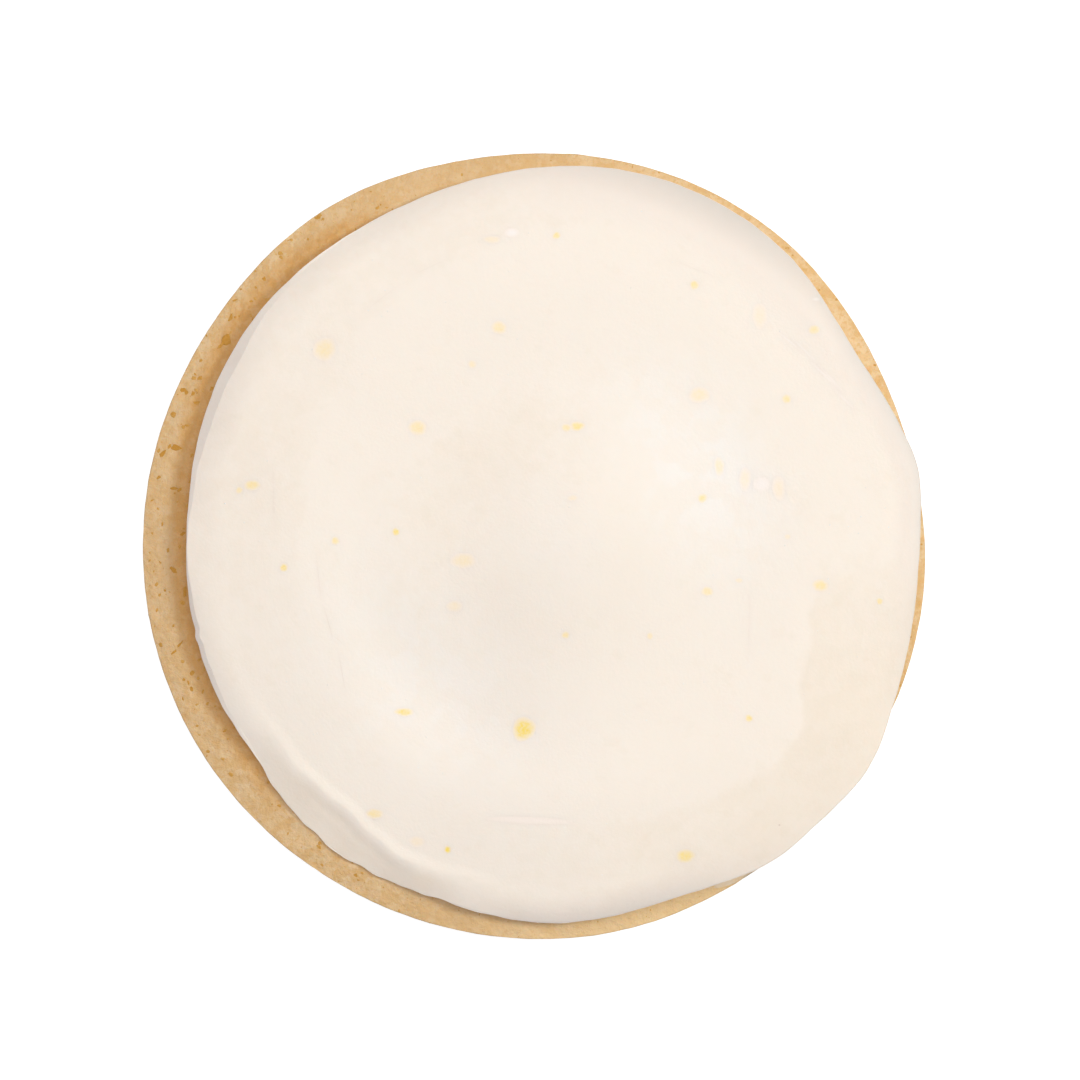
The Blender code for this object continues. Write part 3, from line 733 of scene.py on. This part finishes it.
def makeGrains():  # tiny sugar grains set in the icing's top
    draw = np.random.default_rng(grains["seed"])
    parts = []
    turn = fullTurn(6)
    places = [(x * mm, y * mm) for x, y in grains["marked"]]
    for _ in range(grains["count"]):
        reach, angle = grains["furthest"] * math.sqrt(draw.random()), draw.uniform(0, 2 * math.pi)
        places.append((reach * math.cos(angle), reach * math.sin(angle)))
    for middleX, middleY in places:
        size = draw.uniform(*grains["size"])
        spread = size * draw.uniform(0.7, 1.3, 6)
        level = float(icingTop(np.array([middleX]), np.array([middleY]))[0])
        rings = np.array([0, 0.7, 1, 0.7, 0])[:, None]
        heights = np.array([0.45, 0.36, 0, -0.6, -0.8])[:, None] * size
        x = icing["centreX"] + middleX + rings * spread * np.cos(turn)
        y = middleY + rings * spread * np.sin(turn)
        parts.append(shellPart(x, y, level + heights + np.zeros_like(x)))
    return makePiece("sugarGrains", parts)


def feed(tree, node, sockets):  # links each input to an output, or sets its constant
    for name, value in sockets.items():
        if isinstance(value, bpy.types.NodeSocket):
            tree.links.new(value, node.inputs[name])
        else:
            node.inputs[name].default_value = value


def addNode(tree, kind, sockets, **values):
    node = tree.nodes.new(kind)
    for name, value in values.items():
        setattr(node, name, value)
    feed(tree, node, sockets)
    return node


def workOut(tree, operation, first, second, clamp=False):
    sockets = {0: first, 1: second}
    return addNode(tree, "ShaderNodeMath", sockets, operation=operation, use_clamp=clamp).outputs["Value"]


def takeTo(tree, mask, low, high):  # a mask of 0 to 1 as values from low to high
    return addNode(tree, "ShaderNodeMapRange", {"Value": mask, "To Min": low, "To Max": high}).outputs["Result"]


def newGroup(name, inputs, output, kind):  # a group with numbers as its inputs and one output
    group = bpy.data.node_groups.new(name, "ShaderNodeTree")
    for entry, value in inputs.items():
        socket = group.interface.new_socket(entry, in_out="INPUT", socket_type="NodeSocketFloat")
        socket.default_value = value
    group.interface.new_socket(output, in_out="OUTPUT", socket_type=kind)
    return group, group.nodes.new("NodeGroupInput").outputs, group.nodes.new("NodeGroupOutput")


def newMaterial(name):
    material = bpy.data.materials.new(name)
    material.use_nodes = True
    tree = material.node_tree
    return material, tree, tree.nodes["Principled BSDF"]


def srgb(red, green, blue):  # display values of 0 to 255 as a linear colour
    parts = [part / 255 for part in (red, green, blue)]
    return (*[part / 12.92 if part <= 0.04045 else ((part + 0.055) / 1.055) ** 2.4 for part in parts], 1)


def makePatchGroup():  # soft patches over a surface, as a mask of 0 to 1
    group, entry, leave = newGroup(
        "softPatches", {"Size": 0.002, "Detail": 3, "From": 0.4, "To": 0.6, "Shift": 0}, "Mask", "NodeSocketFloat")
    place = addNode(group, "ShaderNodeTexCoord", {}).outputs["Object"]
    moved = addNode(group, "ShaderNodeVectorMath", {0: place, 1: entry["Shift"]}, operation="ADD").outputs["Vector"]
    scale = workOut(group, "DIVIDE", 1, entry["Size"])
    grain = addNode(group, "ShaderNodeTexNoise", {"Vector": moved, "Scale": scale, "Detail": entry["Detail"]})
    spread = {"Value": grain.outputs["Fac"], "From Min": entry["From"], "From Max": entry["To"]}
    spread = addNode(group, "ShaderNodeMapRange", spread, interpolation_type="SMOOTHSTEP")
    feed(group, leave, {"Mask": spread.outputs["Result"]})
    return group


patchGroup = makePatchGroup()


def patches(tree, size, low, high, shift, detail=3):
    sockets = {"Size": size, "From": low, "To": high, "Shift": shift, "Detail": detail}
    return addNode(tree, "ShaderNodeGroup", sockets, node_tree=patchGroup).outputs["Mask"]


def stored(tree, name):  # a number kept on the mesh
    return addNode(tree, "ShaderNodeAttribute", {}, attribute_name=name).outputs["Fac"]


def mixColours(tree, mask, first, second, share=1):
    if share < 1:
        mask = workOut(tree, "MULTIPLY", mask, share)
    sockets = {"Factor": mask, "A": first, "B": second}
    return addNode(tree, "ShaderNodeMix", sockets, data_type="RGBA").outputs["Result"]


def bumped(tree, height, distance, before=None):  # the normal over a surface of this height
    sockets = {"Strength": 1, "Distance": distance, "Height": height}
    if before is not None:
        sockets["Normal"] = before
    return addNode(tree, "ShaderNodeBump", sockets).outputs["Normal"]


crumbFinish = {
    "base": srgb(233, 198, 148),
    "deep": srgb(222, 174, 104),
    "pale": srgb(245, 220, 180),
    # painted light: lighter crumb on the lower rim
    "low": srgb(247, 213, 160),
    # painted shade on stretches of the rim
    "rimShade": srgb(222, 184, 132),
    # painted shadow of the icing on the crumb beside it
    "shadowed": srgb(214, 161, 92),
    "torn": srgb(203, 145, 58),
    "tornPale": srgb(222, 174, 100),
    "baked": srgb(188, 134, 76),
    "roughness": 0.82,
}


def crumbMaterial():
    material, tree, shader = newMaterial("bakedCrumb")
    base = mixColours(tree, patches(tree, 1.7 * mm, 0.44, 0.58, 3), crumbFinish["base"], crumbFinish["deep"], 0.45)
    base = mixColours(tree, patches(tree, 0.8 * mm, 0.5, 0.62, 7), base, crumbFinish["pale"], 0.34)
    base = mixColours(tree, patches(tree, 0.45 * mm, 0.56, 0.64, 9), base, crumbFinish["deep"], 0.5)
    # painted light on the lower rim, then painted shade on stretches of the rim
    base = mixColours(tree, stored(tree, "low"), base, crumbFinish["low"], 0.75)
    base = mixColours(tree, stored(tree, "rimShade"), base, crumbFinish["rimShade"])
    uneven = takeTo(tree, patches(tree, 0.9 * mm, 0.4, 0.6, 15), 0.72, 1.08)
    # painted shadow beside the icing, uneven at its border
    shadowed = workOut(tree, "MULTIPLY", stored(tree, "paintedShadow"), uneven, True)
    base = mixColours(tree, shadowed, base, crumbFinish["shadowed"], 0.88)
    base = mixColours(tree, stored(tree, "baked"), base, crumbFinish["baked"], 0.7)
    coarse = bumped(tree, patches(tree, 0.45 * mm, 0.2, 0.8, 5, 4), 0.055 * mm)
    feed(tree, shader, {
        "Base Color": base, "Roughness": crumbFinish["roughness"], "Specular IOR Level": 0.3,
        "Subsurface Weight": 0.15, "Subsurface Radius": (1, 0.5, 0.2), "Subsurface Scale": 0.4 * mm,
        "Normal": bumped(tree, patches(tree, 0.14 * mm, 0.2, 0.8, 1, 4), 0.022 * mm, coarse),
    })
    return material


def tearMaterial():
    material, tree, shader = newMaterial("tornCrumb")
    uneven = takeTo(tree, patches(tree, 0.25 * mm, 0.35, 0.65, 11), -0.2, 0.2)
    depth = workOut(tree, "ADD", uneven, stored(tree, "depth"), True)
    feed(tree, shader, {
        "Base Color": mixColours(tree, depth, crumbFinish["tornPale"], crumbFinish["torn"]),
        "Roughness": crumbFinish["roughness"], "Specular IOR Level": 0.3,
        "Normal": bumped(tree, patches(tree, 0.14 * mm, 0.2, 0.8, 1, 4), 0.03 * mm),
    })
    return material


icingFinish = {
    "thick": srgb(253, 239, 225),
    # thinner icing with painted shade in the band, apron and crescent
    "thinshade": srgb(246, 232, 214),
    # painted sheen on the icing's top
    "pale": srgb(254, 244, 235),
    # painted grey shade on the sloping edge
    "grey": srgb(224, 217, 208),
    "fleck": srgb(255, 220, 45),
    "fleckPale": srgb(255, 226, 96),
    # painted sheen along the knife's lines
    "paleMark": srgb(253, 246, 240),
    "hairline": srgb(222, 202, 184),
    "film": srgb(240, 212, 172),
    "filmThick": srgb(243, 222, 192),
    "grain": srgb(255, 253, 250),
    "grainShade": srgb(250, 244, 236),
    "roughness": 0.48,
}


def makeBrushGroup():  # fine lines that swirl round the middle, as a mask of 0 to 1
    group, entry, leave = newGroup("brushLines", {"Spacing": 0.0006, "Turns": 5}, "Mask", "NodeSocketFloat")

    def vector(operation, sockets):
        return addNode(group, "ShaderNodeVectorMath", sockets, operation=operation).outputs["Vector"]

    place = addNode(group, "ShaderNodeTexCoord", {}).outputs["Object"]
    drift = addNode(group, "ShaderNodeTexNoise", {"Vector": place, "Scale": 1 / (14 * mm)}).outputs["Color"]
    shift = vector("MULTIPLY", {0: drift, 1: (10 * mm, 10 * mm, 0)})
    flat = vector("MULTIPLY_ADD", {0: place, 1: (1, 1, 0), 2: shift})
    around = vector("SCALE", {0: vector("NORMALIZE", {0: flat}), "Scale": entry["Turns"]})
    radius = addNode(group, "ShaderNodeVectorMath", {0: flat}, operation="LENGTH").outputs["Value"]
    upright = addNode(group, "ShaderNodeCombineXYZ", {"Z": workOut(group, "DIVIDE", radius, entry["Spacing"])})
    total = vector("ADD", {0: around, 1: upright.outputs["Vector"]})
    lines = addNode(group, "ShaderNodeTexNoise", {"Vector": total, "Scale": 1, "Detail": 2}).outputs["Fac"]
    spread = {"Value": lines, "From Min": 0.25, "From Max": 0.75}
    spread = addNode(group, "ShaderNodeMapRange", spread, interpolation_type="SMOOTHSTEP")
    feed(group, leave, {"Mask": spread.outputs["Result"]})
    return group


brushGroup = makeBrushGroup()


def brushLines(tree, spacing, turns):
    sockets = {"Spacing": spacing, "Turns": turns}
    return addNode(tree, "ShaderNodeGroup", sockets, node_tree=brushGroup).outputs["Mask"]


def makeToneGroup():  # the icing's colour from its thinness and random mottle, with painted shade from the thinshade and grey masks and a painted sheen from the pale mask
    group, entry, leave = newGroup("icingTone", {"Thinshade": 0, "Grey": 0, "Pale": 0}, "Color", "NodeSocketColor")
    thinshade = entry["Thinshade"]
    mottles = ((patches(group, 1.6 * mm, 0.42, 0.58, 13), 0.09), (patches(group, 2.2 * mm, 0.58, 0.66, 23), 0.09),
               (patches(group, 5 * mm, 0.3, 0.7, 17), 0.1), (brushLines(group, 0.5 * mm, 9), 0.05))
    for mask, reach in mottles:
        thinshade = workOut(group, "ADD", thinshade, takeTo(group, mask, -reach, reach))
    base = mixColours(group, thinshade, icingFinish["thick"], icingFinish["thinshade"])
    # painted grey shade at the edges
    base = mixColours(group, entry["Grey"], base, icingFinish["grey"], 0.8)
    # painted sheen, blotched
    blotched = takeTo(group, patches(group, 2.6 * mm, 0.42, 0.58, 27), 0.5, 1.15)
    pale = workOut(group, "MULTIPLY", entry["Pale"], blotched, True)
    feed(group, leave, {"Color": mixColours(group, pale, base, icingFinish["pale"])})
    return group


toneGroup = makeToneGroup()


def icingShader(name, scatter):
    material, tree, shader = newMaterial(name)
    base = {value.capitalize(): stored(tree, value) for value in ("thinshade", "grey", "pale")}
    coarse = bumped(tree, brushLines(tree, 0.7 * mm, 8), 0.005 * mm)
    feed(tree, shader, {
        "Roughness": icingFinish["roughness"], "Subsurface Weight": scatter, "Subsurface Radius": (1, 0.85, 0.75),
        "Subsurface Scale": 0.5 * mm,
        "Normal": bumped(tree, patches(tree, 0.3 * mm, 0.2, 0.8, 5), 0.008 * mm, coarse),
    })
    return material, tree, shader, addNode(tree, "ShaderNodeGroup", base, node_tree=toneGroup).outputs["Color"]


def icingMaterial():
    material, tree, shader, colour = icingShader("setIcing", 0.4)
    feed(tree, shader, {"Base Color": colour})
    return material


def fleckMaterial():
    material, tree, shader, colour = icingShader("yellowFleck", 0)
    uneven = takeTo(tree, patches(tree, 0.25 * mm, 0.3, 0.7, 4), 0.74, 1.12)
    cover = workOut(tree, "MULTIPLY", uneven, stored(tree, "strength"), True)
    yellow = mixColours(tree, patches(tree, 0.3 * mm, 0.35, 0.65, 2), icingFinish["fleck"], icingFinish["fleckPale"])
    feed(tree, shader, {"Base Color": mixColours(tree, cover, colour, yellow)})
    return material


def markMaterial(name):
    material, tree, shader, colour = icingShader(name, 0)
    feed(tree, shader, {"Base Color": mixColours(tree, stored(tree, "strength"), colour, icingFinish[name])})
    return material


def smearMaterial():
    material, tree, shader = newMaterial("icingFilm")
    feed(tree, shader, {
        "Base Color": mixColours(tree, patches(tree, 0.9 * mm, 0.35, 0.65, 12), icingFinish["film"],
                                 icingFinish["filmThick"]),
        "Roughness": icingFinish["roughness"],
        "Normal": bumped(tree, patches(tree, 0.45 * mm, 0.2, 0.8, 5, 4), 0.03 * mm),
    })
    return material


def grainMaterial():
    material, tree, shader = newMaterial("sugarGrain")
    feed(tree, shader, {
        "Base Color": mixColours(tree, patches(tree, 3 * mm, 0.4, 0.6, 6), icingFinish["grain"],
                                 icingFinish["grainShade"]),
        "Roughness": 0.25, "Subsurface Weight": 0.3, "Subsurface Radius": (1, 1, 1), "Subsurface Scale": 0.1 * mm,
    })
    return material


studio = {
    "floorReach": 1.9,
    "floorSteps": 192,
    "openingReach": 38.3 / 40,  # an opening where the biscuit rests, as a share of its outline
    "skyStrength": 0.354,
    # name; direction and height in degrees, distance, size, power and colour
    "lamps": (
        ("keyLamp", 12, 50, 1.4, 0.34, 7.28, (1.03, 1.02, 0.93)), ("topLamp", 75, 75, 1.4, 1, 7.08, (1, 1, 1)),
        ("cardLamp", 175, 20, 1.2, 0.7, 1.32, (1.02, 0.92, 1.05)),
    ),
    "lens": 200,
    "viewWidth": 2.749 * biscuit["radius"],  # what the frame takes in at the outline's height
    "outlineHeight": 4.5 * mm,
    "viewCentre": (0.53 * mm, 0.58 * mm),
}


def makeFloor():  # seen from above only, with an opening under the biscuit so that its underside shows from below
    steps = studio["floorSteps"]
    angle = 360 * np.arange(steps) / steps
    cosine, sine = towards(angle)
    opening = studio["openingReach"] * lobed(biscuit, angle)
    rings = [np.stack([reach * cosine, reach * sine, 0 * angle], axis=-1)
             for reach in (opening, studio["floorReach"])]
    faces = [(step, steps + step, steps + (step + 1) % steps, (step + 1) % steps) for step in range(steps)]
    floor = makePiece("floor", [(np.vstack(rings), faces, ())])
    material, tree, shader = newMaterial("paleFloor")
    below = addNode(tree, "ShaderNodeNewGeometry", {}).outputs["Backfacing"]
    feed(tree, shader, {
        "Base Color": (0.45, 0.45, 0.45, 1), "Roughness": 0.9, "Specular IOR Level": 0,
        "Emission Color": addNode(tree, "ShaderNodeLightPath", {}).outputs["Is Camera Ray"],
        "Emission Strength": 0.85,
        "Alpha": workOut(tree, "SUBTRACT", 1, below),
    })
    floor.data.materials.append(material)


def addLamp(name, turned, lifted, distance, size, power, colour):  # a round soft lamp that faces the middle
    lamp = bpy.data.lights.new(name, "AREA")
    lamp.shape, lamp.size, lamp.energy, lamp.color = "DISK", size, power, colour
    turned, lifted = math.radians(turned), math.radians(lifted)
    away = Vector((math.cos(lifted) * math.cos(turned), math.cos(lifted) * math.sin(turned), math.sin(lifted)))
    holder = addObject(name, lamp)
    holder.location = away * distance
    holder.rotation_euler = (-away).to_track_quat("-Z", "Y").to_euler()


def makeLight():
    world = bpy.data.worlds.new("studioSky")
    bpy.context.scene.world = world
    world.use_nodes = True
    sky = world.node_tree.nodes["Background"]
    sky.inputs["Color"].default_value = (0.97, 0.965, 1.05, 1)
    sky.inputs["Strength"].default_value = studio["skyStrength"]
    for lamp in studio["lamps"]:
        addLamp(*lamp)
    bpy.context.scene.view_settings.view_transform = "Standard"


def makeCamera():
    sight = bpy.data.cameras.new("camera")
    sight.lens = studio["lens"]
    sight.sensor_width = 36
    distance = studio["lens"] / sight.sensor_width * studio["viewWidth"]
    sight.clip_start, sight.clip_end = 0.01, 10
    holder = addObject("camera", sight)
    holder.location = (*studio["viewCentre"], studio["outlineHeight"] + distance)
    bpy.context.scene.camera = holder


def rideRoot(piece, material):
    piece.data.materials.append(material)
    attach(piece, "root")
    print(piece.name + ":", len(piece.data.polygons), "faces")
    return piece


bakedRound = rideRoot(makeBiscuit(), crumbMaterial())
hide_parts("biscuit")
rideRoot(makeTears(), tearMaterial())
creamIcing = rideRoot(makeIcing(), icingMaterial())
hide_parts("icing")
rideRoot(makeFlecks(), fleckMaterial())
rideRoot(makeStrokes("paleMarks", paleMarks), markMaterial("paleMark"))
rideRoot(makeStrokes("hairlines", hairlines), markMaterial("hairline"))
rideRoot(makeSmears(), smearMaterial())
rideRoot(makeGrains(), grainMaterial())

makeFloor()
makeLight()
makeCamera()
print("studio ready")
